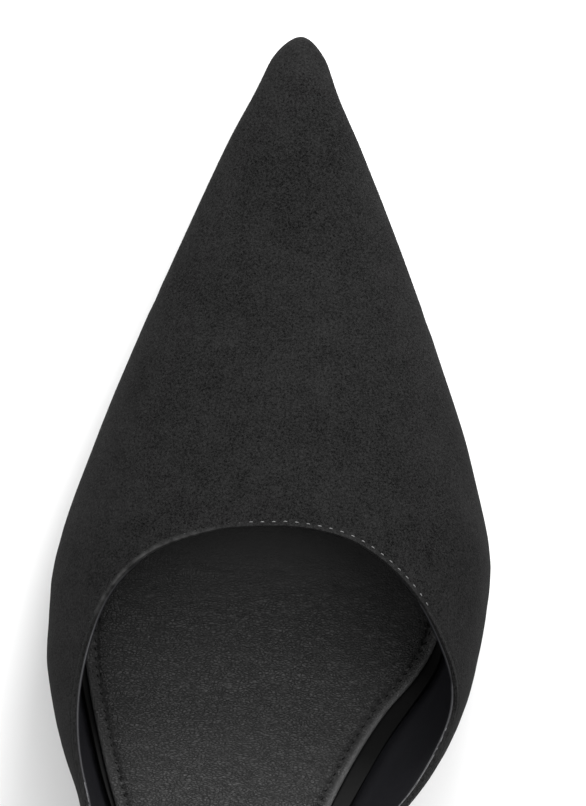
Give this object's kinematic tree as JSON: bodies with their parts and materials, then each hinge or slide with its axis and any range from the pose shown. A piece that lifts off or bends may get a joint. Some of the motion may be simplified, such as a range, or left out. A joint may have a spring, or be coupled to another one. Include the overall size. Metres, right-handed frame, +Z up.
{
  "type": "pointed court shoe",
  "caption": "Pointed-toe court shoe in black suede with a low-cut round throat, padded leather sock and a slim covered high heel, left foot.",
  "frame": {"origin": "on the floor, under the middle of the shoe's length and width", "axes": "+Z up, +Y from the heel to the pointed toe, +X to the inner (medial) side of the left foot"},
  "size_m": [0.0828, 0.2482, 0.1306],
  "materials": {
    "suede": "black suede, fine short nap, no gloss",
    "lining_leather": "smooth black lining leather, slight sheen",
    "sock_leather": "soft black leather with fine creased grain, satin",
    "sole_leather": "smooth black leather board, satin",
    "tread_plastic": "hard black plastic, fine moulded grain",
    "thread": "grey and black sewing thread"
  },
  "bodies": {
    "root": {"upper": "suede", "heel": "suede", "outsole": "sole_leather", "insole": "lining_leather", "sock": "sock_leather", "top_piece": "tread_plastic"}
  },
  "joints": []
}
